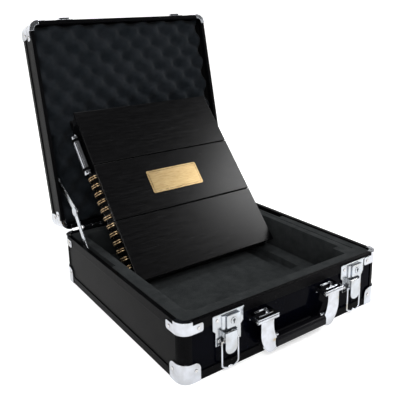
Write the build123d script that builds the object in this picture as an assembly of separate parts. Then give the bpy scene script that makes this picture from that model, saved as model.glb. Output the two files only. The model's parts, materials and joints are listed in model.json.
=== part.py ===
from build123d import *

import os
from math import cos, degrees, atan2, hypot, radians, sin, sqrt

# Hard carrying case with an open lid, egg-crate lid foam, a foam well in the base and a ring-bound
# portfolio that stands in the well. Millimetres. X runs right along the front, -Y is the front with
# the latches and the handle, +Y is the hinge side, +Z is up. The origin is the middle of the underside.

# ---- driving dimensions: the case ----
CASE_W = 310.0            # width over the aluminium frame
CASE_D = 309.0            # depth over the aluminium frame
PARTING_Z = 72.6          # height at which base and lid meet
RIM_GAP = 0.9             # each rim stops this far from the parting height
RIM_CAP_T = 0.7           # the rim corners fold over the rim's face by this thickness
LID_TOP = 111.2           # top of the closed lid
CORNER_R = 13.0           # rounded vertical corners
LID_OPEN = 102.0          # degrees that the lid stands open

SKIN = 1.2                # thickness of the aluminium profiles and of the corner pieces
BOARD = 3.2               # thickness of the side boards
FLOOR_BOARD = 4.0         # thickness of the bottom board and the lid's top board
RIM_WEB = 1.8             # web of the channel that closes each rim
RIM_LIP = 1.0             # inner leg of that channel
WALL = SKIN + BOARD + RIM_LIP
EDGE_LEG = 12.0           # leg of the outer edge profile under the board

BASE_DEPTH = PARTING_Z - RIM_GAP
LID_DEPTH = LID_TOP - PARTING_Z - RIM_GAP
BASE_RIM = 12.0           # visible height of the rim channel
LID_RIM = 10.0
BASE_EDGE = 10.0          # visible height of the outer edge profile
LID_EDGE = 8.0

HALF_W = CASE_W / 2
HALF_D = CASE_D / 2
FRONT = -HALF_D           # outer face of the frame at the front
PANEL_FACE = FRONT + SKIN # outer face of the front board

# ---- corner pieces ----
RIM_CORNER_H = 14.0       # height of the corner band at each rim
RIM_FLANGE_FAR = 27.5     # the riveted flange runs from the band to this distance from the corner
RIM_FLANGE_TOP = 3.6      # the flange starts this far from the rim
BALL_EAR = 23.0           # reach of each ear of the outer corner pieces
BALL_EAR_R = 8.0
RIVET_R = 2.0
RIVET_H = 0.8

# ---- hinge ----
KNUCKLE_R = 2.4
HINGE_PIN_R = 1.2
HINGE_Y = HALF_D + KNUCKLE_R
HINGE_X = 102.0           # middle of each hinge
HINGE_LEN = 42.0
HINGE_LEAF = 20.0         # height of each leaf
RUNNING = 0.05            # radial clearance of a pin in the part that turns on it

# ---- foam ----
WELL_FLOOR = 27.0
FOAM_TOP = 69.8
WELL_LEFT = -131.5
WELL_RIGHT = 127.5
WELL_FRONT = -133.5
WELL_BACK = 133.5
WELL_R = 11.0
FOAM_GAP = 0.3
LID_FOAM_FACE = 6.0       # the foam's peaks lie this far inside the lid's rim
STAY_SLOT = 7.5           # free width beside the side walls for the folding stays
TAB_X = 116.5             # the border's tab in the well's front right corner starts here
TAB_BACK = -113.0         # and reaches back to here
SEAM_X = 137.5            # slit in the border's right side
SEAM_T = 1.2
SEAM_DEPTH = 5.0
SEAM_END = 128.0
RECESS = ((81.0, 107.0), (-62.0, 60.0)) # finger recess in the lower foam, across and along
RECESS_DEPTH = 11.0

# ---- lid stays: two links that fold towards the front ----
STAY_FOOT = (86.0, 62.0)        # lower pivot, (y, z)
STAY_HEAD_CLOSED = (82.0, 86.0) # upper pivot on the lid when the lid is shut, (y, z)
STAY_LOWER = 63.3
STAY_UPPER = 68.8
STAY_T = 1.5
STAY_END_R = 3.8          # half width of a link at its bracket
STAY_KNEE_R = 5.0         # half width of a link at the knee
STAY_DISC_R = 7.2         # round head of the knee rivet
STAY_DISC_T = 0.8
STAY_PIN_R = 2.0
STAY_WALL_X = HALF_W - WALL     # inner face of the side wall
STAY_SLOT_FRONT = 14.0    # the slots in the foam run between these two depths
STAY_SLOT_BACK = 118.0
STAY_SLOT_FLOOR = 40.0

# ---- latches ----
LATCH_MIDDLE = 5.2        # the pair of latches sits this far right of the case's middle
LATCH_X = 99.8            # middle of each latch plate, either side of that
LATCH_HALF = 20.8
LATCH_LOW = 32.0
LATCH_HIGH = 70.0
LATCH_T = 1.0
LATCH_STEP_Z = 52.0       # the plate narrows here
LATCH_STEP = 3.5
LATCH_FOLD = 1.2          # height of the folded ledge along the plate's top
LATCH_FOLD_OUT = 2.6
LEVER_DX = -1.0           # the lever stands this far right of the middle of its plate
LEVER_HALF = 8.0
LEVER_PIVOT = (FRONT - 4.5, 46.0)
LEVER_PIN_R = 1.0
LEVER_T = 1.2
LEVER_OUT = 3.5           # the lever's face stands this far in front of its pivot
LEVER_TOP = LEVER_PIVOT[1] + 2.0
EAR_T = 1.2
EAR_GAP = 0.3
TONGUE_LOW = 22.0
TONGUE_R = 7.5
CHEEK_LOW = 34.0
BAIL_PIVOT = (FRONT - 5.1, 38.0)
BAIL_R = 1.1
BAIL_HALF = 11.2
BAIL_LOW = 4.2            # lowest points of the bail's wire
BAIL_KINK = 2.2           # rise of the small bend in the middle of its foot
LOCK_DX = 4.7             # the lock sits this far right of the middle of its plate
LOCK_Z = 58.5
LOCK_R = 4.0
LOCK_HALF = 9.3           # half width of the lock's housing
LOCK_HOUSING = (50.9, 66.0)     # heights of the housing
LOCK_OUT = 5.0
KEYHOLE_R = 1.8
KEYHOLE_SLOT = 0.7        # half width of the slot under it
KEYHOLE_DEPTH = 2.4
RIB_DX = -6.8             # rib beside the housing, over the latch's spring
RIB_R = 2.6
RIB_Z = (50.9, 66.5)
CATCH_HALF = 13.0
CATCH_DX = -4.3           # the catch's plate sits off the middle of the latch plate under it
CATCH_LOW = PARTING_Z + 2.4
CATCH_H = 22.0
HOOK_Z = CATCH_LOW + 9.0
HOOK_OUT = 5.6
HOOK_T = 1.2
HOOK_H = 4.4

# ---- handle ----
HANDLE_MIDDLE = 3.0       # the handle sits this far right of the case's middle
HANDLE_X = 52.7           # middle of each arm's barrel, either side of that
HANDLE_PIVOT = (FRONT - 13.6, 50.3)
HANDLE_BARREL_R = 2.8
HANDLE_BARREL_HALF = 10.0
HANDLE_PIN_R = 1.4
BRACKET_HALF = 15.0
BRACKET_SIDE = 4.0        # width of the side walls under the bracket's top frame
BRACKET_BACK = 2.5        # thickness of its back bar
BRACKET_TOP = 1.2         # thickness of its top frame
BRACKET_TOP_Z = HANDLE_PIVOT[1] + HANDLE_BARREL_R + 0.2
BRACKET_WINDOW = 9.0      # half width of the open window
BRACKET_STEP = 0.8        # height and width of the raised edge round the window
STUD_DX = 10.0
ARM_HALF = 9.5
ARM_T = 2.0
GRIP_HALF = 39.0
GRIP_LOW = 9.5
GRIP_HIGH = 23.0
GRIP_FRONT = HANDLE_PIVOT[0] - 3.0
GRIP_BACK = HANDLE_PIVOT[0] + 8.0
GRIP_R = 4.0
CAP_R = 3.0               # end cap between the arm and the top of the grip
CAP_REACH = 4.5

# ---- portfolio, lying flat: X across, Y up its length, Z out of its front cover ----
BOOK_W = 235.0
BOOK_L = 264.0
BOOK_T = 27.0
BOOK_TILT = 49.2          # degrees from level when it stands in the well
BOOK_FOOT = (0.0, 45.0)   # (y, z) of the cover's lower edge
COVER_T = 4.0
LINER_T = 1.0
BACK_T = 3.5
PLANK_GAP = 1.2
RING_COUNT = 12
SPINE_Z = -14.2           # middle of the binding, below the cover's face
SPINE_HALF = 8.9
RING_R = 8.3
RING_WIRE = 1.0
RING_PAIR = 3.2           # each place on the binding holds two wires this far apart
RING_FIRST = 24.0
RING_LAST = 160.0
ROD_R = 6.0
ROD_CLIP_T = 0.9
ROD_GROOVE = 1.3          # width and depth of the grooves along the rod
ROD_GROOVES = (-25.0, 10.0, 45.0) # degrees from straight out of the bound edge
ROD_FROM = 168.0
ROD_TO = 232.0
PLATE_W = 87.0
PLATE_H = 36.0
PLATE_AT = (-1.0, 131.5)


def block(x0, x1, y0, y1, z0, z1):
    """A box between two corners."""
    return Pos((x0 + x1) / 2, (y0 + y1) / 2, (z0 + z1) / 2) * Box(x1 - x0, y1 - y0, z1 - z0)


def rod_x(x0, x1, y, z, radius):
    """A cylinder along X."""
    return Pos((x0 + x1) / 2, y, z) * Rot(0, 90, 0) * Cylinder(radius, x1 - x0)


def rod_y(x, y0, y1, z, radius):
    """A cylinder along Y."""
    return Pos(x, (y0 + y1) / 2, z) * Rot(90, 0, 0) * Cylinder(radius, y1 - y0)


def frame_prism(inset, z0, z1):
    """The case's rounded outline, moved in by inset, between two heights."""
    radius = max(CORNER_R - inset, 1.0)
    outline = RectangleRounded(CASE_W - 2 * inset, CASE_D - 2 * inset, radius)
    return Pos(0, 0, z0) * extrude(outline, amount=z1 - z0)


def mitred(ring):
    """Cut a ring that follows the outline into four lengths that meet at the corners."""
    corners = [(-CASE_W, -CASE_D), (CASE_W, -CASE_D), (CASE_W, CASE_D), (-CASE_W, CASE_D)]
    lengths = []
    for i in range(4):
        wedge = make_face(Polyline([corners[i], corners[(i + 1) % 4], (0, 0)], close=True))
        lengths.append(ring & (Pos(0, 0, -10) * extrude(wedge, amount=LID_TOP + 20)))
    return lengths


def at_corners(piece):
    """Copies of a piece made for the +X +Y corner, at all four corners."""
    right = [piece, mirror(piece, about=Plane.XZ)]
    return right + [mirror(p, about=Plane.YZ) for p in right]


def plate_y(width, height, radius, x, z, y0, y1):
    """A plate with rounded corners that faces along Y."""
    outline = Pos(x, z) * RectangleRounded(width, height, radius)
    return Plane(origin=(0, y0, 0), x_dir=(1, 0, 0), z_dir=(0, 1, 0)) * extrude(
        mirror(outline, about=Plane.XZ), amount=y1 - y0)


def rivet_y(x, y, z, out):
    """A domed rivet head on a face at y; out is -1 or 1, the way the head points."""
    head = Pos(0, 0, RIVET_H / 2) * Cylinder(RIVET_R, RIVET_H)
    head = fillet(head.faces().sort_by(Axis.Z)[-1].edges(), 0.6)
    return Pos(x, y, z) * Rot(-90 * out, 0, 0) * head


def rivet_x(x, y, z, out):
    """A domed rivet head on a face at x."""
    head = Pos(0, 0, RIVET_H / 2) * Cylinder(RIVET_R, RIVET_H)
    head = fillet(head.faces().sort_by(Axis.Z)[-1].edges(), 0.6)
    return Pos(x, y, z) * Rot(0, 90 * out, 0) * head


# ---- the two halves of the shell, drawn with Z = 0 at the rim and Z growing away from it ----

def rim_lengths(height):
    """Channel that closes the rim and holds the boards' edges."""
    ring = frame_prism(0, 0, height) - frame_prism(WALL, -1, height + 1)
    slot = frame_prism(SKIN, RIM_WEB, height + 1) - frame_prism(SKIN + BOARD, RIM_WEB - 1, height + 2)
    return mitred(ring - slot)


def edge_lengths(depth, height, corner):
    """Angle profile along the outer edge, let in under the corner pieces."""
    ring = frame_prism(0, depth - height, depth) - frame_prism(SKIN, depth - height - 1, depth - SKIN)
    ring -= frame_prism(EDGE_LEG, depth - SKIN - 1, depth + 1)
    return [length - corner for length in mitred(ring)]


def corner_posts(depth, rim, edge):
    """Rounded post at each corner, between the rim and the edge profile."""
    outer = frame_prism(0, rim, depth - edge) - frame_prism(WALL, rim - 1, depth)
    far = block(HALF_W - CORNER_R, HALF_W + 1, HALF_D - CORNER_R, HALF_D + 1, 0, depth)
    return at_corners(outer & far)


def boards(depth):
    """Four side boards, held by the rim channel and standing on the edge profile."""
    reach_x = HALF_W - CORNER_R
    reach_y = HALF_D - CORNER_R
    top = RIM_WEB
    low = depth - SKIN
    back = block(-reach_x, reach_x, HALF_D - SKIN - BOARD, HALF_D - SKIN, top, low)
    right = block(HALF_W - SKIN - BOARD, HALF_W - SKIN, -reach_y, reach_y, top, low)
    return [mirror(back, about=Plane.XZ), back], [mirror(right, about=Plane.YZ), right]


def outer_board(depth, corner):
    """Bottom or top board, rebated so that it lies flush between the edge profile's legs."""
    inner = frame_prism(SKIN + BOARD, depth - SKIN - FLOOR_BOARD, depth - SKIN)
    face = frame_prism(EDGE_LEG, depth - SKIN, depth)
    return inner + (face - corner)


def rim_corner():
    """Band round a rim corner, folded over the rim's face, with a riveted flange on each side."""
    shell = frame_prism(-SKIN, 0, RIM_CORNER_H) - frame_prism(0, -1, RIM_CORNER_H + 1)
    near = CORNER_R + 1
    band = shell & block(HALF_W - near, CASE_W, HALF_D - near, CASE_D, 0, RIM_CORNER_H)
    height = RIM_CORNER_H - RIM_FLANGE_TOP
    middle = RIM_FLANGE_TOP + height / 2
    back = plate_y(2 * RIM_FLANGE_FAR, height, 2.5, HALF_W, middle, HALF_D - CORNER_R, CASE_D)
    side = plate_y(2 * RIM_FLANGE_FAR, height, 2.5, HALF_D, middle, HALF_W - CORNER_R, CASE_W)
    side = mirror(Rot(0, 0, 90) * side, about=Plane.YZ)
    fold = frame_prism(-SKIN, -RIM_CAP_T, 0) - frame_prism(WALL, -RIM_CAP_T - 1, 1)
    fold &= block(HALF_W - near, CASE_W, HALF_D - near, CASE_D, -RIM_CAP_T, 0)
    return band + fold + (shell & back) + (shell & side)


def ball_corner(depth, proud):
    """Three-eared corner piece over an outer corner; proud is how far it stands past the end face."""
    shell = frame_prism(-SKIN, depth - BALL_EAR, depth + proud) - frame_prism(0, 0, depth)
    back = plate_y(2 * BALL_EAR, 2 * BALL_EAR, BALL_EAR_R, HALF_W, depth, 0, CASE_D)
    side = plate_y(2 * BALL_EAR, 2 * BALL_EAR, BALL_EAR_R, HALF_D, depth, 0, CASE_W)
    side = mirror(Rot(0, 0, 90) * side, about=Plane.YZ)
    ears = (shell & back & block(0, CASE_W, HALF_D - CORNER_R, CASE_D, 0, depth + proud)) + (
        shell & side & block(HALF_W - CORNER_R, CASE_W, 0, CASE_D, 0, depth + proud))
    end = frame_prism(-SKIN, depth + proud - SKIN, depth + proud)
    ear = Pos(HALF_W, HALF_D, 0) * extrude(RectangleRounded(2 * BALL_EAR, 2 * BALL_EAR, BALL_EAR_R),
                                           amount=depth + proud)
    return ears + (end & ear)


def corner_rivets(depth):
    """Rivet heads on the rim corner flanges and on the ears of the outer corner pieces."""
    rim_at = RIM_FLANGE_FAR - 6
    rim_z = (RIM_FLANGE_TOP + RIM_CORNER_H) / 2
    ear_at = BALL_EAR - 6
    ear_z = depth - BALL_EAR + 9
    heads = []
    for along, z in ((rim_at, rim_z), (ear_at, ear_z)):
        heads += at_corners(rivet_y(HALF_W - along, HALF_D + SKIN, z, 1))
        heads += at_corners(rivet_x(HALF_W + SKIN, HALF_D - along, z, 1))
    return heads


def half_shell(depth, rim, edge, proud):
    """All the hard parts of one half, as lists of solids by name."""
    corner = ball_corner(depth, proud)
    corners = at_corners(corner)
    blocked = corners[0] + corners[1] + corners[2] + corners[3]
    front_back, sides = boards(depth)
    return {
        "rim": rim_lengths(rim),
        "outer_edge": edge_lengths(depth, edge, blocked),
        "corner_posts": corner_posts(depth, rim, edge),
        "front_back_boards": front_back,
        "side_boards": sides,
        "outer_board": [outer_board(depth, blocked)],
        "rim_corners": at_corners(rim_corner()),
        "outer_corners": corners,
        "corner_rivets": corner_rivets(depth),
    }


def base_place(piece):
    """Turn a half over and set its rim just under the parting height."""
    return Pos(0, 0, PARTING_Z - RIM_GAP) * mirror(piece, about=Plane.XY)


def lid_shut(piece):
    """Set a half's rim just over the parting height."""
    return Pos(0, 0, PARTING_Z + RIM_GAP) * piece


def lid_open(piece):
    """Swing a piece of the shut lid back about the hinge."""
    return piece.rotate(Axis((0, HINGE_Y, PARTING_Z), (1, 0, 0)), -LID_OPEN)


# ---- foam ----

def foam_floor():
    """Lower foam layer, with a finger recess near the right end."""
    inner = WALL + FOAM_GAP
    layer = frame_prism(inner, SKIN + FLOOR_BOARD + FOAM_GAP, WELL_FLOOR)
    across, along = RECESS
    recess = block(*across, *along, WELL_FLOOR - RECESS_DEPTH, WELL_FLOOR + 1)
    return layer - recess


def stay_slots(z0, z1):
    """The two slots that the folding stays lie in, beside the side walls."""
    right = block(STAY_WALL_X - STAY_SLOT, HALF_W, STAY_SLOT_FRONT, STAY_SLOT_BACK, z0, z1)
    return right + mirror(right, about=Plane.YZ)


def foam_border():
    """Upper foam layer: a border round the well, with a tab in its front right corner and a slit."""
    ring = frame_prism(WALL + FOAM_GAP, WELL_FLOOR, FOAM_TOP)
    well = Pos((WELL_LEFT + WELL_RIGHT) / 2, (WELL_FRONT + WELL_BACK) / 2, WELL_FLOOR - 1) * extrude(
        RectangleRounded(WELL_RIGHT - WELL_LEFT, WELL_BACK - WELL_FRONT, WELL_R), amount=CASE_D / 4)
    well -= block(TAB_X, HALF_W, -HALF_D, TAB_BACK, 0, LID_TOP)
    seam = block(SEAM_X - SEAM_T / 2, SEAM_X + SEAM_T / 2, -SEAM_END, SEAM_END,
                 FOAM_TOP - SEAM_DEPTH, FOAM_TOP + 1)
    return ring - well - seam - stay_slots(STAY_SLOT_FLOOR, FOAM_TOP + 1)


def lid_foam():
    """Foam that fills the lid, with a slot at each side for the folding stays."""
    pad = frame_prism(WALL + FOAM_GAP, LID_FOAM_FACE, LID_DEPTH - SKIN - FLOOR_BOARD - FOAM_GAP)
    return lid_shut(pad - stay_slots(0, LID_DEPTH - 9))


# ---- hinges ----

def hinge_leaves():
    """Base leaf with the two outer knuckles and lid leaf with the middle one, at +X."""
    third = HINGE_LEN / 3
    x0 = HINGE_X - HINGE_LEN / 2
    bore = rod_x(x0 - 1, x0 + HINGE_LEN + 1, HINGE_Y, PARTING_Z, HINGE_PIN_R)
    wide_bore = rod_x(x0, x0 + HINGE_LEN, HINGE_Y, PARTING_Z, HINGE_PIN_R + RUNNING)
    face = HALF_D
    base = block(x0, x0 + HINGE_LEN, face, face + SKIN, PARTING_Z - HINGE_LEAF, PARTING_Z - 0.8)
    lid = block(x0, x0 + HINGE_LEN, face, face + SKIN, PARTING_Z + 0.8, PARTING_Z + HINGE_LEAF)
    room_low = block(x0 + third - 0.3, x0 + 2 * third + 0.3, face - 1, face + 9,
                     PARTING_Z - 3, PARTING_Z + 3)
    for i in (0, 2):
        knuckle = rod_x(x0 + i * third, x0 + (i + 1) * third, HINGE_Y, PARTING_Z, KNUCKLE_R)
        base += knuckle
        lid -= block(x0 + i * third - 0.3, x0 + (i + 1) * third + 0.3, face - 1, face + 9,
                     PARTING_Z - 3, PARTING_Z + 3)
    base -= room_low
    middle = rod_x(x0 + third + 0.3, x0 + 2 * third - 0.3, HINGE_Y, PARTING_Z, KNUCKLE_R)
    lid += middle
    return base - bore, lid - wide_bore


def hinge_pin():
    """Pin through the knuckles, with a small head at each end."""
    x0 = HINGE_X - HINGE_LEN / 2
    x1 = HINGE_X + HINGE_LEN / 2
    pin = rod_x(x0, x1, HINGE_Y, PARTING_Z, HINGE_PIN_R)
    for x in (x0 - 0.8, x1):
        pin += rod_x(x, x + 0.8, HINGE_Y, PARTING_Z, HINGE_PIN_R + 0.8)
    return pin


# ---- lid stays, drawn for the right-hand side ----

def turn_about_hinge(point, angle):
    """Turn a (y, z) point about the hinge axis."""
    dy = point[0] - HINGE_Y
    dz = point[1] - PARTING_Z
    c = cos(radians(angle))
    s = sin(radians(angle))
    return HINGE_Y + dy * c - dz * s, PARTING_Z + dy * s + dz * c


def knee(foot, head):
    """Where the two links meet: the front one of the two places that their lengths allow."""
    gap = hypot(head[0] - foot[0], head[1] - foot[1])
    along = (STAY_LOWER ** 2 - STAY_UPPER ** 2 + gap ** 2) / (2 * gap)
    off = sqrt(STAY_LOWER ** 2 - along ** 2)
    ay = (head[0] - foot[0]) / gap
    az = (head[1] - foot[1]) / gap
    return foot[0] + along * ay - off * az, foot[1] + along * az + off * ay


def link(start, end, x0):
    """Flat bar that widens from its pivot to the knee, STAY_T thick from x0, bored at its start."""
    length = hypot(end[0] - start[0], end[1] - start[1])
    angle = degrees(atan2(end[1] - start[1], end[0] - start[0]))
    sides = Polyline([(0, -STAY_END_R), (length, -STAY_KNEE_R), (length, STAY_KNEE_R), (0, STAY_END_R)],
                     close=True)
    bar = Circle(STAY_END_R) + make_face(sides) + Pos(length, 0) * Circle(STAY_KNEE_R)
    bar -= Circle(STAY_PIN_R + RUNNING)
    flat = Rot(0, 0, angle) * extrude(bar, amount=STAY_T)
    return Pos(x0, start[0], start[1]) * (Plane.YZ * flat)


def stay_bracket(point, x_inner):
    """Plate on the side wall with the pivot pin that a link turns on."""
    y, z = point
    plate = block(STAY_WALL_X - 1, STAY_WALL_X, y - 9, y + 9, z - 7, z + 7)
    pin = rod_x(x_inner - 0.4, STAY_WALL_X - 1, y, z, STAY_PIN_R)
    collar = rod_x(x_inner - 1.4, x_inner - 0.4, y, z, STAY_PIN_R + 1.5)
    return plate + pin + collar


def stay_parts():
    """Brackets and links of the right-hand stay, with the lid open."""
    head = turn_about_hinge(STAY_HEAD_CLOSED, -LID_OPEN)
    bend = knee(STAY_FOOT, head)
    lower_x = STAY_WALL_X - 1.3 - STAY_T
    upper_x = lower_x - 0.3 - STAY_T
    lower = link(STAY_FOOT, bend, lower_x)
    disc = rod_x(lower_x + STAY_T, lower_x + STAY_T + STAY_DISC_T, bend[0], bend[1], STAY_DISC_R)
    lower += chamfer(disc.faces().sort_by(Axis.X)[-1].edges(), STAY_DISC_T / 2)
    upper = link(head, bend, upper_x)
    lower_bracket = stay_bracket(STAY_FOOT, lower_x)
    upper_bracket = stay_bracket(head, upper_x)
    return lower_bracket, upper_bracket, lower, upper


# ---- latches ----

def latch_outline():
    """Outline of the latch plate about its own middle: it narrows at a chamfered step."""
    wide = LATCH_HALF
    narrow = LATCH_HALF - LATCH_STEP
    right = [(wide, LATCH_HIGH), (wide, LATCH_STEP_Z)]
    right += [(narrow, LATCH_STEP_Z - LATCH_STEP), (narrow, LATCH_LOW)]
    left = [(-x, z) for x, z in reversed(right)]
    return make_face(Polyline(right + left, close=True))


def latch_plate(xc):
    """Riveted plate with a folded top, a spring rib, the lever's pivot ears and the lock housing."""
    sheet = Plane(origin=(xc, FRONT, 0), x_dir=(1, 0, 0), z_dir=(0, -1, 0))
    plate = sheet * extrude(latch_outline(), amount=LATCH_T)
    boss = LATCH_HALF - LATCH_STEP - 0.5
    plate += block(xc - boss, xc + boss, FRONT, PANEL_FACE, LATCH_LOW + 1, BASE_DEPTH - BASE_RIM - 0.3)
    plate += block(xc - LATCH_HALF, xc + LATCH_HALF, FRONT - LATCH_FOLD_OUT, FRONT - LATCH_T,
                   LATCH_HIGH - LATCH_FOLD, LATCH_HIGH)
    rib_height = RIB_Z[1] - RIB_Z[0]
    rib = Pos(xc + RIB_DX, FRONT - LATCH_T, RIB_Z[0] + rib_height / 2) * Cylinder(RIB_R, rib_height)
    plate += rib & block(xc - LATCH_HALF, xc + LATCH_HALF, FRONT - 10, FRONT - LATCH_T, *RIB_Z)
    xl = xc + LEVER_DX
    y, z = LEVER_PIVOT
    for side in (-1, 1):
        inner = xl + side * (LEVER_HALF + EAR_GAP)
        outer = inner + side * EAR_T
        plate += block(min(inner, outer), max(inner, outer), y - 1.8, FRONT - LATCH_T, z - 2.5, z + 3.2)
    x = xc + LOCK_DX
    housing = block(x - LOCK_HALF, x + LOCK_HALF, FRONT - LOCK_OUT, FRONT - LATCH_T, *LOCK_HOUSING)
    plate += fillet(housing.edges().filter_by(Axis.Y), 1.5)
    plate -= rod_y(x, FRONT - LOCK_OUT - 1, FRONT - LATCH_T - 0.4, LOCK_Z, LOCK_R + RUNNING)
    return plate - rod_x(xl - LATCH_HALF, xl + LATCH_HALF, y, z, LEVER_PIN_R)


def latch_pin(xc):
    """Pivot pin of the lever, held in the plate's ears."""
    xl = xc + LEVER_DX
    reach = LEVER_HALF + EAR_GAP + EAR_T + 0.1
    return rod_x(xl - reach, xl + reach, *LEVER_PIVOT, LEVER_PIN_R)


def latch_lever(xc):
    """Folded lever: a front plate that ends in a rounded tongue, and two cheeks with the pivots."""
    xl = xc + LEVER_DX
    y, z = LEVER_PIVOT
    outer = y - LEVER_OUT
    height = LEVER_TOP - TONGUE_LOW
    face = plate_y(2 * LEVER_HALF, height + TONGUE_R, TONGUE_R, xl, TONGUE_LOW + (height + TONGUE_R) / 2,
                   outer, outer + LEVER_T)
    lever = face & block(xl - LATCH_HALF, xl + LATCH_HALF, outer - 1, y, TONGUE_LOW, LEVER_TOP)
    for side in (-1, 1):
        inside = xl + side * (LEVER_HALF - LEVER_T)
        outside = xl + side * LEVER_HALF
        lever += block(min(inside, outside), max(inside, outside), outer + LEVER_T, y + 1.6,
                       CHEEK_LOW, LEVER_TOP)
    for pivot, radius in ((LEVER_PIVOT, LEVER_PIN_R), (BAIL_PIVOT, BAIL_R)):
        lever -= rod_x(xl - LATCH_HALF, xl + LATCH_HALF, *pivot, radius + RUNNING)
    return lever


def latch_bail(xc):
    """Bent wire loop that hangs from the lever and hooks over the lid's catch."""
    xl = xc + LEVER_DX
    y, z = BAIL_PIVOT
    stub = LEVER_HALF - LEVER_T - 0.5
    half = [(BAIL_HALF, z), (BAIL_HALF, BAIL_LOW + 3.3), (BAIL_HALF / 3, BAIL_LOW)]
    points = [(-stub, z)] + [(-a, b) for a, b in half] + [(0, BAIL_LOW + BAIL_KINK)]
    points += [(a, b) for a, b in reversed(half)] + [(stub, z)]
    radii = [1.4, 4.0, 1.5, 1.5, 1.5, 4.0, 1.4]
    path = FilletPolyline([Vector(xl + a, y, b) for a, b in points], radius=radii)
    return sweep(Plane(origin=path @ 0, z_dir=path % 0) * Circle(BAIL_R), path=path)


def lock_cylinder(xc):
    """Turning lock barrel with a keyhole."""
    x = xc + LOCK_DX
    front = FRONT - LOCK_OUT - 0.5
    deep = front + KEYHOLE_DEPTH
    barrel = rod_y(x, front, FRONT - LATCH_T - 0.5, LOCK_Z, LOCK_R)
    keyhole = rod_y(x, front - 1, deep, LOCK_Z + 0.8, KEYHOLE_R)
    keyhole += block(x - KEYHOLE_SLOT, x + KEYHOLE_SLOT, front - 1, deep, LOCK_Z - 3.2, LOCK_Z)
    return barrel - keyhole


def catch_plate(xc):
    """Lid catch: a riveted plate with an upturned hook for the bail. Drawn on the shut lid."""
    xp = xc + CATCH_DX
    xl = xc + LEVER_DX
    high = CATCH_LOW + CATCH_H
    left = xl - LEVER_HALF
    right = xl + LEVER_HALF
    front = FRONT - HOOK_OUT
    plate = block(xp - CATCH_HALF, xp + CATCH_HALF, FRONT - LATCH_T, FRONT, CATCH_LOW, high)
    plate += block(xp - CATCH_HALF + 1, xp + CATCH_HALF - 1, FRONT, PANEL_FACE, HOOK_Z, high - 1)
    ledge = block(left, right, front + 1, FRONT - LATCH_T, HOOK_Z, HOOK_Z + HOOK_T)
    lip = block(left, right, front, front + 1, HOOK_Z, HOOK_Z + HOOK_H)
    return plate + ledge + lip


# ---- handle ----

def handle_bracket(xc):
    """Hollow bracket: a top frame round an open window, side walls and knuckles for the pivot."""
    y, z = HANDLE_PIVOT
    front = y - HANDLE_BARREL_R
    top = BRACKET_TOP_Z
    back = PANEL_FACE - BRACKET_BACK
    bracket = block(xc - BRACKET_HALF, xc + BRACKET_HALF, back, PANEL_FACE, z - HANDLE_BARREL_R, top)
    bracket += block(xc - BRACKET_HALF, xc + BRACKET_HALF, front, PANEL_FACE, top, top + BRACKET_TOP)
    window_front = y + HANDLE_BARREL_R
    step = BRACKET_STEP
    bracket += block(xc - BRACKET_WINDOW - step, xc + BRACKET_WINDOW + step, window_front - step, back + step,
                     top + BRACKET_TOP, top + BRACKET_TOP + step)
    bracket -= block(xc - BRACKET_WINDOW, xc + BRACKET_WINDOW, window_front, back,
                     z, top + BRACKET_TOP + 2 * step)
    bracket -= block(xc - BRACKET_WINDOW, xc + BRACKET_WINDOW, back - 1, PANEL_FACE + 1, 0, top)
    for side in (-1, 1):
        outer = xc + side * BRACKET_HALF
        inner = outer - side * BRACKET_SIDE
        knuckle = xc + side * (HANDLE_BARREL_HALF + 0.2)
        bracket += block(min(outer, inner), max(outer, inner), y, back, z - HANDLE_BARREL_R / 2, top)
        bracket += rod_x(min(outer, knuckle), max(outer, knuckle), y, z, HANDLE_BARREL_R)
    return bracket - rod_x(xc - BRACKET_HALF - 1, xc + BRACKET_HALF + 1, y, z, HANDLE_PIN_R)


def handle_pin(xc):
    """Pin through the bracket's knuckles and the arm's barrel."""
    reach = BRACKET_HALF + 0.4
    return rod_x(xc - reach, xc + reach, *HANDLE_PIVOT, HANDLE_PIN_R)


def arm_outline():
    """Front view of the right-hand arm: a strap that curves inward to a round foot."""
    top = HANDLE_PIVOT[1] - 1
    outer = HANDLE_X + ARM_HALF
    inner = HANDLE_X - ARM_HALF
    bend = GRIP_HIGH + 12
    foot = GRIP_HALF + 14
    edges = [
        Line((outer, top), (outer, bend)),
        ThreePointArc((outer, bend), (outer - 1.4, GRIP_HIGH + 1), (foot + 3, GRIP_LOW + 5)),
        ThreePointArc((foot + 3, GRIP_LOW + 5), (foot - 4, GRIP_LOW - 2), (GRIP_HALF, GRIP_LOW + 1)),
        Line((GRIP_HALF, GRIP_LOW + 1), (GRIP_HALF, GRIP_HIGH)),
        ThreePointArc((GRIP_HALF, GRIP_HIGH), (inner - 1, GRIP_HIGH + 8), (inner, top)),
        Line((inner, top), (outer, top)),
    ]
    return make_face(Wire([edge for piece in edges for edge in piece.edges()]))


def handle_arm():
    """Right-hand arm: a barrel, a flat strap and a foot that closes the end of the grip."""
    y, z = HANDLE_PIVOT
    arm = rod_x(HANDLE_X - HANDLE_BARREL_HALF, HANDLE_X + HANDLE_BARREL_HALF, y, z, HANDLE_BARREL_R)
    for back, limit in ((y + ARM_T / 2, z), (GRIP_BACK, GRIP_HIGH)):
        front = y - ARM_T / 2
        sheet = Plane(origin=(0, back, 0), x_dir=(1, 0, 0), z_dir=(0, -1, 0))
        solid = sheet * extrude(arm_outline(), amount=back - front)
        arm += solid & block(0, CASE_W, front, back, 0, limit)
    arm += rod_x(GRIP_HALF - CAP_REACH, GRIP_HALF + 1, y + 4, GRIP_HIGH - 0.5, CAP_R)
    return arm - rod_x(0, CASE_W, y, z, HANDLE_PIN_R + RUNNING)


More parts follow.
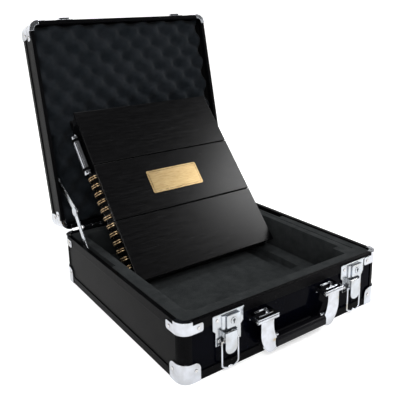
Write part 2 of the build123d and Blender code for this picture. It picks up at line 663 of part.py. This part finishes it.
def handle_grip():
    """Moulded grip between the two arms."""
    bar = block(-GRIP_HALF, GRIP_HALF, GRIP_FRONT, GRIP_BACK, GRIP_LOW, GRIP_HIGH)
    bar = fillet(bar.edges().filter_by(Axis.X), GRIP_R)
    for side in (-1, 1):
        x0 = side * (GRIP_HALF - CAP_REACH)
        x1 = side * (GRIP_HALF + 1)
        bar -= rod_x(min(x0, x1), max(x0, x1), HANDLE_PIVOT[0] + 4, GRIP_HIGH - 0.5, CAP_R)
    return bar


def hardware_rivets():
    """Rivet heads of the latch plates, handle brackets (inside the front board) and base hinge leaves."""
    heads = []
    for xc in (LATCH_MIDDLE - LATCH_X, LATCH_MIDDLE + LATCH_X):
        heads.append(rivet_y(xc - LATCH_HALF + 6, FRONT - LATCH_T, LOCK_Z + 4, -1))
        heads.append(rivet_y(xc - LATCH_HALF + 8, FRONT - LATCH_T, LATCH_LOW + 5.5, -1))
    for xc in (HANDLE_MIDDLE - HANDLE_X, HANDLE_MIDDLE + HANDLE_X):
        for dx in (-STUD_DX, STUD_DX):
            heads.append(rivet_y(xc + dx, PANEL_FACE + BOARD, HANDLE_PIVOT[1], 1))
    for xc in (-HINGE_X, HINGE_X):
        for dx in (-HINGE_LEN / 3, 0, HINGE_LEN / 3):
            heads.append(rivet_y(xc + dx, HALF_D + SKIN, PARTING_Z - 12, 1))
    return heads


# ---- portfolio, drawn lying flat ----

def lean(piece):
    """Stand a flat piece of the portfolio in the well."""
    return Pos(0, BOOK_FOOT[0], BOOK_FOOT[1]) * Rot(BOOK_TILT, 0, 0) * piece


def book_back():
    """Back cover."""
    return block(-BOOK_W / 2, BOOK_W / 2, 0, BOOK_L, -BOOK_T, -BOOK_T + BACK_T)


def book_leaves():
    """Block of leaves between the covers."""
    return block(-BOOK_W / 2 + 2.2, BOOK_W / 2 - 2, 2, BOOK_L - 2, -BOOK_T + BACK_T, -COVER_T - LINER_T - 0.5)


def book_spine():
    """Strip along the bound edge, with two clips for the edge rod."""
    edge = -BOOK_W / 2
    middle = edge - ROD_R + 0.6
    strip = block(edge + 0.6, edge + 2.0, 12, BOOK_L - 14, SPINE_Z - SPINE_HALF, SPINE_Z + SPINE_HALF)
    for y in (ROD_FROM + 8, ROD_TO - 8):
        clip = rod_y(middle, y - 2, y + 2, SPINE_Z, ROD_R + ROD_CLIP_T)
        strip += clip & block(edge - BOOK_T, edge + 2.0, y - 3, y + 3, SPINE_Z - 10, SPINE_Z + 10)
    return strip - rod_y(middle, 0, BOOK_L, SPINE_Z, ROD_R)


def book_rings():
    """Half rings of wire along the bound edge, in pairs."""
    edge = -BOOK_W / 2 + 0.6
    pitch = (RING_LAST - RING_FIRST) / (RING_COUNT - 1)
    ring = Rot(90, 0, 0) * Torus(RING_R, RING_WIRE)
    rings = []
    for i in range(RING_COUNT):
        for side in (-1, 1):
            y = RING_FIRST + i * pitch + side * RING_PAIR / 2
            half = Pos(edge, y, SPINE_Z) * ring
            rings.append(half & block(edge - BOOK_T, edge, y - 5, y + 5, -BOOK_T - 5, 5))
    return rings


def book_rod():
    """Rod held in clips beside the rings, with grooves along it."""
    middle = -BOOK_W / 2 - ROD_R + 0.6
    rod = rod_y(middle, ROD_FROM, ROD_TO, SPINE_Z, ROD_R)
    rod = chamfer(rod.edges().filter_by(GeomType.CIRCLE), 0.8)
    for angle in ROD_GROOVES:
        groove = Box(2 * ROD_GROOVE, ROD_TO - ROD_FROM - 8, ROD_GROOVE)
        rod -= Pos(middle, (ROD_FROM + ROD_TO) / 2, SPINE_Z) * Rot(0, angle, 0) * Pos(-ROD_R, 0, 0) * groove
    return rod


def cover_planks():
    """Three equal planks of the front cover."""
    pitch = BOOK_L / 3
    planks = []
    for i in range(3):
        y0 = i * pitch + (PLANK_GAP / 2 if i > 0 else 0)
        y1 = (i + 1) * pitch - (PLANK_GAP / 2 if i < 2 else 0)
        plank = block(-BOOK_W / 2, BOOK_W / 2, y0, y1, -COVER_T, 0)
        planks.append(fillet(plank.faces().sort_by(Axis.Z)[-1].edges(), 0.8))
    return planks


def cover_liner():
    """Sheet that joins the planks at the back."""
    return block(-BOOK_W / 2 + 1, BOOK_W / 2 - 1, 1, BOOK_L - 1, -COVER_T - LINER_T, -COVER_T)


def name_plate():
    """Blank metal plate on the middle plank."""
    plate = Pos(PLATE_AT[0], PLATE_AT[1], 0) * extrude(RectangleRounded(PLATE_W, PLATE_H, 3), amount=0.8)
    return chamfer(plate.faces().sort_by(Axis.Z)[-1].edges(), 0.3)


def plate_screws():
    """Screw heads in the corners of the plate."""
    heads = []
    for dx in (-1, 1):
        for dy in (-1, 1):
            x = PLATE_AT[0] + dx * (PLATE_W / 2 - 3.4)
            y = PLATE_AT[1] + dy * (PLATE_H / 2 - 3.4)
            head = Pos(x, y, 1.05) * Cylinder(1.3, 0.5)
            heads.append(head - Pos(x, y, 1.3) * Box(3, 0.4, 0.4))
    return heads


def save(name, pieces):
    """Write one node: every solid of the pieces, each kept separate."""
    solids = [solid for piece in pieces for solid in piece.solids()]
    shape = solids[0] if len(solids) == 1 else Compound(solids)
    export_step(shape, f"parts/{name}.step")


def main():
    os.makedirs("parts", exist_ok=True)

    for name, pieces in half_shell(BASE_DEPTH, BASE_RIM, BASE_EDGE, 0).items():
        save(f"base_{name}", [base_place(piece) for piece in pieces])
    for name, pieces in half_shell(LID_DEPTH, LID_RIM, LID_EDGE, SKIN).items():
        save(f"lid_{name}", [lid_open(lid_shut(piece)) for piece in pieces])

    save("base_foam_floor", [foam_floor()])
    save("base_foam_border", [foam_border()])
    save("lid_foam", [lid_open(lid_foam())])

    base_leaf, lid_leaf = hinge_leaves()
    save("hinge_base_leaves", [base_leaf, mirror(base_leaf, about=Plane.YZ)])
    open_leaf = lid_open(lid_leaf)
    save("hinge_lid_leaves", [open_leaf, mirror(open_leaf, about=Plane.YZ)])
    save("hinge_pins", [hinge_pin(), mirror(hinge_pin(), about=Plane.YZ)])

    foot, head, lower, upper = stay_parts()
    save("stay_base_brackets", [foot, mirror(foot, about=Plane.YZ)])
    save("stay_lid_brackets", [head, mirror(head, about=Plane.YZ)])
    save("stay_lower_link_right", [lower])
    save("stay_upper_link_right", [upper])
    save("stay_lower_link_left", [mirror(lower, about=Plane.YZ)])
    save("stay_upper_link_left", [mirror(upper, about=Plane.YZ)])

    for side, xc in (("left", LATCH_MIDDLE - LATCH_X), ("right", LATCH_MIDDLE + LATCH_X)):
        save(f"latch_plate_{side}", [latch_plate(xc)])
        save(f"latch_lever_{side}", [latch_lever(xc)])
        save(f"latch_bail_{side}", [latch_bail(xc)])
        save(f"lock_cylinder_{side}", [lock_cylinder(xc)])
        save(f"lid_catch_{side}", [lid_open(catch_plate(xc))])
    save("latch_pins", [latch_pin(LATCH_MIDDLE - LATCH_X), latch_pin(LATCH_MIDDLE + LATCH_X)])

    for side, xc in (("left", HANDLE_MIDDLE - HANDLE_X), ("right", HANDLE_MIDDLE + HANDLE_X)):
        save(f"handle_bracket_{side}", [handle_bracket(xc)])
    save("handle_pins", [handle_pin(HANDLE_MIDDLE - HANDLE_X), handle_pin(HANDLE_MIDDLE + HANDLE_X)])
    save("handle_arm_right", [Pos(HANDLE_MIDDLE, 0, 0) * handle_arm()])
    save("handle_arm_left", [Pos(HANDLE_MIDDLE, 0, 0) * mirror(handle_arm(), about=Plane.YZ)])
    save("handle_grip", [Pos(HANDLE_MIDDLE, 0, 0) * handle_grip()])
    save("hardware_rivets", hardware_rivets())

    save("book_back_cover", [lean(book_back())])
    save("book_leaves", [lean(book_leaves())])
    save("book_spine_strip", [lean(book_spine())])
    save("book_rings", [lean(ring) for ring in book_rings()])
    save("book_edge_rod", [lean(book_rod())])
    for place, plank in zip(("lower", "middle", "upper"), cover_planks()):
        save(f"cover_plank_{place}", [lean(plank)])
    save("cover_liner", [lean(cover_liner())])
    save("name_plate", [lean(name_plate())])
    save("name_plate_screws", [lean(head) for head in plate_screws()])


main()
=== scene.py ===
"""Looks for a hard, foam-lined carrying case that stands open with a ring-bound portfolio in it."""

import json
from math import cos, pi, radians, sin

import bmesh
import bpy
from mathutils import Matrix, Vector


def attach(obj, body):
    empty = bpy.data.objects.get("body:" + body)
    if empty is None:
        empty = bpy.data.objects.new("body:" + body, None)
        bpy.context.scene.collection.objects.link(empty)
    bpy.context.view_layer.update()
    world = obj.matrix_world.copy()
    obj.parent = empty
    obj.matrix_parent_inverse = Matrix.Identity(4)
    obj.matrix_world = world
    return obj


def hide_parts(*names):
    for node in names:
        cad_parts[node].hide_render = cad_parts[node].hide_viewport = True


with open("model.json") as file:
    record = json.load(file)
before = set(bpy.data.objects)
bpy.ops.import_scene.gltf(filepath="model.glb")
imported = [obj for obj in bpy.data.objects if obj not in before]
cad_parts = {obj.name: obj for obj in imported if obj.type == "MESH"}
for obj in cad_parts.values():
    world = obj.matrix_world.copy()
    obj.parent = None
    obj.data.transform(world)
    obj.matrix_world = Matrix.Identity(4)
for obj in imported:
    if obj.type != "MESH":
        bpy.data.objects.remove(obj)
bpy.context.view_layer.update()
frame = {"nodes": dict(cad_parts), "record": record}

MM = 0.001
DIAGONAL = 1.414                # of a square of side 1
JOINTS = {joint["name"]: joint for joint in frame["record"]["behaviour"]["joints"]}


# ---- places worked out from the frame ----

LID = JOINTS["lid_hinge"]
HINGE = Vector(LID["pos_m"])
LID_ANGLE = radians(LID["range_deg"][1])
COVER_AXIS = Vector(JOINTS["cover_hinge"]["axis"])
BOOK_UP = -COVER_AXIS                                  # from the portfolio's foot to its top
BOOK_OUT = Vector((0, -BOOK_UP.z, BOOK_UP.y))          # out of its front cover
BOOK_TILT = BOOK_UP.yz.angle_signed(Vector((1, 0)))


def about_hinge(angle):
    """The turn of the lid about its hinge."""
    return Matrix.Translation(HINGE) @ Matrix.Rotation(angle, 4, "X") @ Matrix.Translation(-HINGE)


def box_after(node, turn):
    """Lowest and highest corner of a node after a turn, such as the lid's foam on the shut lid."""
    points = [turn @ v.co for v in frame["nodes"][node].data.vertices]
    low = Vector([min(p[i] for p in points) for i in range(3)])
    high = Vector([max(p[i] for p in points) for i in range(3)])
    return low, high


# ---- shader helpers ----

class Shader:
    """A material with a Principled shader, and short calls for the nodes that feed it."""

    def __init__(self, name, colour, rough, metal=0.0, specular=0.5, coat=0.0, sheen=0.0):
        self.material = bpy.data.materials.new(name)
        self.material.use_nodes = True
        self.material.diffuse_color = (*colour, 1)
        self.nodes = self.material.node_tree.nodes
        self.links = self.material.node_tree.links
        self.out = self.nodes["Principled BSDF"]
        self.out.inputs["Base Color"].default_value = (*colour, 1)
        self.out.inputs["Roughness"].default_value = rough
        self.out.inputs["Metallic"].default_value = metal
        self.out.inputs["Specular IOR Level"].default_value = specular
        self.out.inputs["Coat Weight"].default_value = coat
        self.out.inputs["Coat Roughness"].default_value = 0.12
        self.out.inputs["Sheen Weight"].default_value = sheen
        self.where = None

    def place(self, scale=(1, 1, 1), turn=(0, 0, 0)):
        """Object coordinates, turned and then scaled, which every texture after this reads."""
        source = self.nodes.new("ShaderNodeTexCoord")
        rotate = self.nodes.new("ShaderNodeMapping")
        rotate.inputs["Rotation"].default_value = turn
        self.links.new(source.outputs["Object"], rotate.inputs["Vector"])
        stretch = self.nodes.new("ShaderNodeMapping")
        stretch.inputs["Scale"].default_value = scale
        self.links.new(rotate.outputs["Vector"], stretch.inputs["Vector"])
        self.where = stretch.outputs["Vector"]
        return self

    def noise(self, scale, detail=3.0, rough=0.5):
        """Noise at so many grains to the metre, before any stretch."""
        node = self.nodes.new("ShaderNodeTexNoise")
        node.inputs["Scale"].default_value = scale
        node.inputs["Detail"].default_value = detail
        node.inputs["Roughness"].default_value = rough
        self.links.new(self.where, node.inputs["Vector"])
        return node.outputs["Fac"]

    def cells(self, scale):
        """Distance to the nearest cell's middle, for foam pores and hammered dots."""
        node = self.nodes.new("ShaderNodeTexVoronoi")
        node.inputs["Scale"].default_value = scale
        self.links.new(self.where, node.inputs["Vector"])
        return node.outputs["Distance"]

    def spread(self, value, low, high, out_low, out_high):
        """Map a value's range to another."""
        node = self.nodes.new("ShaderNodeMapRange")
        node.inputs["From Min"].default_value = low
        node.inputs["From Max"].default_value = high
        node.inputs["To Min"].default_value = out_low
        node.inputs["To Max"].default_value = out_high
        self.links.new(value, node.inputs["Value"])
        return node.outputs["Result"]

    def tint(self, value, *stops):
        """Colour from a value, through (position, colour) stops."""
        node = self.nodes.new("ShaderNodeValToRGB")
        ramp = node.color_ramp
        while len(ramp.elements) < len(stops):
            ramp.elements.new(0.5)
        for element, (position, colour) in zip(ramp.elements, stops):
            element.position = position
            element.color = (*colour, 1)
        self.links.new(value, node.inputs["Fac"])
        self.links.new(node.outputs["Color"], self.out.inputs["Base Color"])
        return self

    def rough(self, value, low, high):
        """Roughness from a value between 0.3 and 0.7."""
        self.links.new(self.spread(value, 0.3, 0.7, low, high), self.out.inputs["Roughness"])
        return self

    def bump(self, value, strength, depth, under=None):
        """Relief of so many metres from a value; under is another normal that it adds to."""
        node = self.nodes.new("ShaderNodeBump")
        node.inputs["Strength"].default_value = strength
        node.inputs["Distance"].default_value = depth
        self.links.new(value, node.inputs["Height"])
        if under is not None:
            self.links.new(under, node.inputs["Normal"])
        self.links.new(node.outputs["Normal"], self.out.inputs["Normal"])
        return node.outputs["Normal"]

    def soft_edges(self, radius):
        """Rounds hard edges in the shading, as pressed and cast metal has them."""
        node = self.nodes.new("ShaderNodeBevel")
        node.samples = 6
        node.inputs["Radius"].default_value = radius
        self.links.new(node.outputs["Normal"], self.out.inputs["Normal"])
        return node.outputs["Normal"]


# ---- materials ----

def anodised(name):
    """Satin black extrusion with a faint grain and softened edges."""
    s = Shader(name, (0.002, 0.002, 0.003), 0.30, specular=0.02).place()
    grain = s.noise(900, 2.0)
    s.tint(grain, (0.3, (0.0008, 0.0008, 0.001)), (0.7, (0.003, 0.003, 0.0035)))
    s.rough(grain, 0.24, 0.38)
    s.bump(grain, 0.15, 0.00004, s.soft_edges(0.0006))
    return s.material


def laminate(name, deep, pale, low, high, specular):
    """Smooth black sheet with a broad, faint cloudiness and a fine dust-like texture."""
    s = Shader(name, deep, low, specular=specular).place()
    cloud = s.noise(14, 4.0, 0.6)
    s.tint(cloud, (0.35, deep), (0.7, pale))
    fine = s.noise(2600, 2.0)
    s.rough(fine, low, high)
    s.bump(fine, 0.10, 0.00003)
    return s.material


def chrome(name):
    """Polished chrome on pressed steel, a little uneven, with warm stains; its colour is darkened in
    broad patches as painted reflection of a dark surround.
    """
    s = Shader(name, (0.80, 0.80, 0.81), 0.07, metal=1.0).place()
    stains_and_dark_reflection = s.noise(70, 3.0)
    # painted reflection: broad darker patches stand in for a dark surround mirrored in the chrome; the
    # warm low stop is stains
    s.tint(stains_and_dark_reflection, (0.26, (0.36, 0.29, 0.17)), (0.36, (0.42, 0.43, 0.45)), (0.75, (0.57, 0.59, 0.64)))
    s.rough(stains_and_dark_reflection, 0.04, 0.12)
    s.bump(s.noise(160, 3.0), 0.35, 0.00020, s.soft_edges(0.0007))
    return s.material


def nickel(name):
    """Nickel plate with fine brushing along Z and a few warm stains."""
    s = Shader(name, (0.78, 0.78, 0.76), 0.20, metal=1.0).place(scale=(1, 1, 0.06))
    streak = s.noise(2200, 3.0)
    s.tint(s.place().noise(55, 4.0), (0.27, (0.36, 0.30, 0.17)), (0.37, (0.38, 0.39, 0.40)),
           (0.7, (0.50, 0.53, 0.57)))
    s.rough(streak, 0.12, 0.26)
    s.bump(streak, 0.12, 0.00003, s.soft_edges(0.0006))
    return s.material


def pin_steel(name):
    """Plated steel of pins and rivets."""
    s = Shader(name, (0.62, 0.62, 0.62), 0.22, metal=1.0).place()
    grain = s.noise(800, 2.0)
    s.tint(grain, (0.3, (0.42, 0.41, 0.40)), (0.7, (0.68, 0.68, 0.68)))
    s.rough(grain, 0.14, 0.30)
    s.bump(grain, 0.1, 0.00003, s.soft_edges(0.0004))
    return s.material


def foam(name, deep, pale):
    """Cut foam: pores and a mottled colour, without shine."""
    s = Shader(name, pale, 0.95, specular=0.04, sheen=0.03).place()
    mottle = s.noise(55, 4.0, 0.65)
    s.tint(mottle, (0.3, deep), (0.72, pale))
    pores = s.cells(900)
    fine = s.noise(2500, 2.0)
    s.bump(fine, 0.25, 0.0003, s.bump(pores, 0.45, 0.0006))
    return s.material


def stained_board(name):
    """Black stained board: long fine grain across the portfolio, satin."""
    s = Shader(name, (0.0015, 0.0015, 0.002), 0.24, specular=0.17)
    s.place(scale=(0.05, 1, 1), turn=(-BOOK_TILT, 0, 0))
    grain = s.noise(900, 6.0, 0.62)
    s.tint(grain, (0.36, (0.0006, 0.0006, 0.0008)), (0.62, (0.0030, 0.0030, 0.0034)))
    s.rough(grain, 0.19, 0.28)
    s.bump(grain, 0.16, 0.00004, s.soft_edges(0.0004))
    return s.material


def brass_plate(name):
    """Brushed brass: long scratches across the plate, with broad warm and pale bands."""
    s = Shader(name, (0.78, 0.55, 0.22), 0.34, metal=1.0)
    s.place(scale=(0.03, 1, 1), turn=(-BOOK_TILT, 0, 0))
    scratch = s.noise(3000, 4.0, 0.6)
    s.tint(scratch, (0.32, (0.34, 0.22, 0.09)), (0.5, (0.46, 0.33, 0.16)), (0.72, (0.58, 0.45, 0.26)))
    s.rough(scratch, 0.26, 0.44)
    s.bump(scratch, 0.20, 0.00004, s.soft_edges(0.0003))
    return s.material


def bronze_wire(name):
    """Dark plated wire of the binding, bright only where it is rubbed."""
    s = Shader(name, (0.40, 0.28, 0.15), 0.24, metal=1.0).place()
    grain = s.noise(500, 3.0)
    s.tint(grain, (0.35, (0.14, 0.09, 0.05)), (0.55, (0.38, 0.27, 0.15)), (0.75, (0.78, 0.64, 0.44)))
    s.rough(grain, 0.16, 0.32)
    return s.material


def moulded_plastic(name):
    """Black moulded grip with a fine spark-eroded grain."""
    s = Shader(name, (0.003, 0.003, 0.004), 0.26, specular=0.05).place()
    s.tint(s.noise(30), (0.35, (0.002, 0.002, 0.003)), (0.7, (0.005, 0.005, 0.006)))
    s.bump(s.cells(1500), 0.12, 0.00005)
    return s.material


def dark_card(name):
    """Dark card leaves, seen at their cut edges."""
    s = Shader(name, (0.006, 0.006, 0.007), 0.8, specular=0.1).place()
    fibre = s.noise(1500, 4.0)
    s.tint(fibre, (0.3, (0.003, 0.003, 0.004)), (0.7, (0.012, 0.012, 0.013)))
    s.bump(fibre, 0.3, 0.0001)
    return s.material


def book_cloth(name):
    """Black book cloth on the inside of the cover, with a woven bump."""
    s = Shader(name, (0.006, 0.006, 0.007), 0.85, specular=0.1, sheen=0.05)
    s.place(turn=(-BOOK_TILT, 0, 0))
    wave = s.nodes.new("ShaderNodeTexWave")
    wave.inputs["Scale"].default_value = 420
    wave.inputs["Distortion"].default_value = 1.2
    s.links.new(s.where, wave.inputs["Vector"])
    s.tint(s.noise(400, 3.0), (0.3, (0.004, 0.004, 0.005)), (0.7, (0.010, 0.010, 0.011)))
    s.bump(wave.outputs["Fac"], 0.3, 0.00015)
    return s.material


MATERIALS = {
    "frame_black": anodised("black_anodised"),
    "board_gloss": laminate("gloss_laminate", (0.0004, 0.0005, 0.0014), (0.0009, 0.0012, 0.0032),
                            0.06, 0.12, 0.015),
    "board_satin": laminate("satin_laminate", (0.004, 0.004, 0.0042), (0.009, 0.009, 0.0092),
                            0.26, 0.38, 0.02),
    "chrome": chrome("polished_chrome"),
    "nickel": nickel("brushed_nickel"),
    "steel_pins": pin_steel("pin_steel"),
    "base_foam": foam("insert_foam", (0.015, 0.017, 0.018), (0.030, 0.033, 0.034)),
    "lid_foam": foam("crate_foam", (0.006, 0.008, 0.010), (0.013, 0.015, 0.018)),
    "grip": moulded_plastic("grip_plastic"),
    "cover_board": stained_board("stained_board"),
    "liner": book_cloth("book_cloth"),
    "leaves": dark_card("dark_card"),
    "binding": bronze_wire("bronze_wire"),
    "plate_brass": brass_plate("brushed_brass"),
}


def wear(piece, slot):
    """Give a piece one of the materials."""
    piece.data.materials.clear()
    piece.data.materials.append(MATERIALS[slot])


def dress_frame():
    """Every CAD node gets its slot's material."""
    for part in frame["record"]["subparts"]:
        node = frame["nodes"][part["node"]]
        for i in range(len(node.material_slots)):
            node.material_slots[i].material = MATERIALS[part["material_slot"]]


# ---- pieces ----

def mesh_piece(name, bm, slot, body):
    """Turn a bmesh into a named piece that wears a slot's material and rides on a body."""
    data = bpy.data.meshes.new(name)
    bm.normal_update()
    bm.to_mesh(data)
    bm.free()
    piece = bpy.data.objects.new(name, data)
    bpy.context.scene.collection.objects.link(piece)
    for face in data.polygons:
        face.use_smooth = True
    wear(piece, slot)
    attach(piece, body)
    return piece


def stay_slot(to_shut, low, high):
    """Inner side, front, back and ceiling of the slots that the CAD foam has for the folding stays."""
    corners = [to_shut @ v.co for v in frame["nodes"]["lid_foam"].data.vertices]
    ceiling = [p for p in corners if low.z + MM < p.z < high.z - MM]
    inner = min(abs(p.x) for p in ceiling)
    return inner, min(p.y for p in ceiling), max(p.y for p in ceiling), max(p.z for p in ceiling)


def egg_crate():
    """Lid foam: rows of rounded peaks between hollows, on a block that fills the shut lid."""
    to_shut = about_hinge(LID_ANGLE)
    low, high = box_after("lid_foam", to_shut)
    slot_side, slot_front, slot_back, slot_top = stay_slot(to_shut, low, high)
    pitch = 27 * MM                  # between two peaks, along the foam's diagonals
    depth = 13 * MM
    fullness = 1.15                  # above 1, the peaks are wider than the hollows
    cells = 132
    edge_tuck = 3 * MM               # how far the border of the sheet is pressed in
    edge_width = 5 * MM
    bm = bmesh.new()
    width = high.x - low.x
    length = high.y - low.y
    grid = []
    for j in range(cells + 1):
        row = []
        for i in range(cells + 1):
            x = low.x + width * i / cells
            y = low.y + length * j / cells
            one_way = cos(2 * pi * (x + y) / (pitch * DIAGONAL))
            other_way = cos(2 * pi * (x - y) / (pitch * DIAGONAL))
            wave = one_way * 0.5 + other_way * 0.5
            drop = depth * (0.5 - 0.5 * wave) ** fullness
            edge = min(x - low.x, high.x - x, y - low.y, high.y - y)
            tuck = edge_tuck * max(0.0, 1 - edge / edge_width) ** 2
            z = low.z + drop + tuck
            if abs(x) > slot_side - width / cells and slot_front < y < slot_back:
                z = slot_top
            row.append(bm.verts.new((x, y, z)))
        grid.append(row)
    for j in range(cells):
        for i in range(cells):
            bm.faces.new((grid[j][i], grid[j + 1][i], grid[j + 1][i + 1], grid[j][i + 1]))
    rim = [edge for edge in bm.edges if edge.is_boundary]
    walls = bmesh.ops.extrude_edge_only(bm, edges=rim)
    tops = [v for v in walls["geom"] if isinstance(v, bmesh.types.BMVert)]
    for v in tops:
        v.co.z = high.z
    bmesh.ops.contextual_create(bm, geom=[e for e in bm.edges if e.is_boundary])
    bmesh.ops.recalc_face_normals(bm, faces=bm.faces)
    bmesh.ops.transform(bm, matrix=to_shut.inverted(), verts=bm.verts)
    piece = mesh_piece("egg_crate_foam", bm, "lid_foam", "lid")
    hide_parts("lid_foam")
    return piece


def softened(node, name, slot, body, radius):
    """A foam layer cut to its CAD outline, with edges rounded as cut foam has them."""
    bm = bmesh.new()
    bm.from_mesh(frame["nodes"][node].data)
    bmesh.ops.remove_doubles(bm, verts=bm.verts, dist=0.00001)
    bmesh.ops.dissolve_limit(bm, angle_limit=radians(1), verts=bm.verts, edges=bm.edges)
    piece = mesh_piece(name, bm, slot, body)
    bevel = piece.modifiers.new("soft edge", "BEVEL")
    bevel.width = radius
    bevel.segments = 3
    bevel.limit_method = "ANGLE"
    bevel.angle_limit = radians(50)
    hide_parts(node)
    return piece


def leaves():
    """Sheets of the portfolio, each its own thin card, a little uneven at their edges."""
    to_flat = Matrix.Rotation(-BOOK_TILT, 4, "X")
    low, high = box_after("book_leaves", to_flat)
    count = 24
    card_share = 0.8                 # of the pitch; the rest is the gap between two cards
    pitch = (high.z - low.z) / count
    bm = bmesh.new()
    for i in range(count):
        inset = (0.3 + 0.25 * sin(i * 2.4)) * MM
        size = Vector((high.x - low.x - 2 * inset, high.y - low.y - 2 * inset, pitch * card_share))
        middle = Vector(((low.x + high.x) / 2, (low.y + high.y) / 2, low.z + pitch * (i + 0.5)))
        place = Matrix.Translation(middle) @ Matrix.Diagonal((*size, 1))
        bmesh.ops.create_cube(bm, size=1, matrix=place)
    bmesh.ops.transform(bm, matrix=to_flat.inverted(), verts=bm.verts)
    piece = mesh_piece("portfolio_leaves", bm, "leaves", "portfolio")
    for face in piece.data.polygons:
        face.use_smooth = False
    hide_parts("book_leaves")
    return piece


def plate_border():
    """Raised line round the blank plate, a little inside its edge."""
    to_flat = Matrix.Rotation(-BOOK_TILT, 4, "X")
    low, high = box_after("name_plate", to_flat)
    inset = 2.2 * MM
    line = 0.6 * MM
    proud = 0.15 * MM
    step = [(0, 0), (0, proud), (line, proud), (line, 0)]
    bm = bmesh.new()
    rings = []
    for across, height in step:
        d = inset + across
        z = high.z + height
        left, right = low.x + d, high.x - d
        near, far = low.y + d, high.y - d
        corners = [(left, near), (right, near), (right, far), (left, far)]
        rings.append([bm.verts.new((x, y, z)) for x, y in corners])
    for ring, after in zip(rings, rings[1:] + rings[:1]):
        for k in range(4):
            n = (k + 1) % 4
            bm.faces.new((ring[k], ring[n], after[n], after[k]))
    bmesh.ops.recalc_face_normals(bm, faces=bm.faces)
    bmesh.ops.transform(bm, matrix=to_flat.inverted(), verts=bm.verts)
    piece = mesh_piece("plate_border", bm, "binding", "portfolio_cover")
    for face in piece.data.polygons:
        face.use_smooth = False
    return piece


# ---- studio ----

def studio():
    """A pale floor that curves up into a backdrop all round, and a soft white sky."""
    flat = 2.4                       # radius of the level floor
    turn_radius = 1.2
    top = 1.6
    below = 0.0003                   # the floor lies this far under the case, so they don't flicker
    profile = [(flat * i / 6, 0) for i in range(1, 7)]
    profile += [(flat + turn_radius * sin(a), turn_radius * (1 - cos(a)))
                for a in (radians(15 * k) for k in range(1, 7))]
    profile.append((flat + turn_radius, top))
    steps = 64
    bm = bmesh.new()
    middle = bm.verts.new((0, 0, 0))
    rings = []
    for r, z in profile:
        rings.append([bm.verts.new((r * cos(2 * pi * k / steps), r * sin(2 * pi * k / steps), z))
                      for k in range(steps)])
    for k in range(steps):
        bm.faces.new((middle, rings[0][k], rings[0][(k + 1) % steps]))
    for inner, outer in zip(rings, rings[1:]):
        for k in range(steps):
            n = (k + 1) % steps
            bm.faces.new((inner[k], outer[k], outer[n], inner[n]))
    data = bpy.data.meshes.new("studio_floor")
    bm.to_mesh(data)
    bm.free()
    floor = bpy.data.objects.new("studio_floor", data)
    bpy.context.scene.collection.objects.link(floor)
    for face in data.polygons:
        face.use_smooth = True
    s = Shader("pale_floor", (0.93, 0.93, 0.93), 0.7, specular=0.2).place()
    s.tint(s.noise(3), (0.3, (0.92, 0.92, 0.92)), (0.7, (0.95, 0.95, 0.95)))
    s.out.inputs["Emission Color"].default_value = (1, 1, 1, 1)
    s.out.inputs["Emission Strength"].default_value = 0.55
    data.materials.append(s.material)
    floor.location.z = -below

    world = bpy.data.worlds.new("soft_sky")
    bpy.context.scene.world = world
    world.use_nodes = True
    sky = world.node_tree.nodes["Background"]
    sky.inputs["Color"].default_value = (1, 1, 1, 1)
    sky.inputs["Strength"].default_value = 0.12
    bpy.context.scene.view_settings.view_transform = "Standard"


def soft_box(name, place, aim, size, power):
    """A white, rectangular area light that points at a place."""
    data = bpy.data.lights.new(name, "AREA")
    data.shape = "RECTANGLE"
    data.size, data.size_y = size
    data.energy = power
    light = bpy.data.objects.new(name, data)
    light.location = place
    light.rotation_euler = (Vector(aim) - Vector(place)).to_track_quat("-Z", "Y").to_euler()
    bpy.context.scene.collection.objects.link(light)


def lights():
    """Large soft boxes above and to both sides."""
    middle = (0, 0, 0.12)
    soft_box("key", (-0.9, -1.3, 1.7), middle, (0.9, 0.9), 20)
    soft_box("fill", (1.5, -0.65, 1.25), middle, (0.55, 0.75), 17)
    soft_box("top", (0.1, 0.5, 2.0), middle, (1.4, 0.8), 18)


def camera():
    """Camera at the viewing angle: left of the front, a little above, tilted by a couple of degrees."""
    azimuth = radians(-32.0)
    elevation = radians(14.42)
    roll = radians(-2.10)
    position = (-0.4211, -0.5656, 0.3767)
    back = Vector((sin(azimuth) * cos(elevation), -cos(azimuth) * cos(elevation), sin(elevation)))
    right = Vector((0, 0, 1)).cross(back).normalized()
    up = back.cross(right)
    turned = right * cos(roll) + up * sin(roll)
    upward = up * cos(roll) - right * sin(roll)
    data = bpy.data.cameras.new("camera")
    data.lens = 48.9
    data.shift_x = 0.083
    data.shift_y = -0.110
    data.clip_end = 20
    view = bpy.data.objects.new("camera", data)
    facing = Matrix((turned, upward, back)).transposed().to_4x4()
    view.matrix_world = Matrix.Translation(position) @ facing
    bpy.context.scene.collection.objects.link(view)
    bpy.context.scene.camera = view


camera()
studio()
lights()
dress_frame()
egg_crate()
softened("base_foam_border", "foam_border", "base_foam", "base", 1.6 * MM)
softened("base_foam_floor", "foam_floor", "base_foam", "base", 1.2 * MM)
leaves()
plate_border()
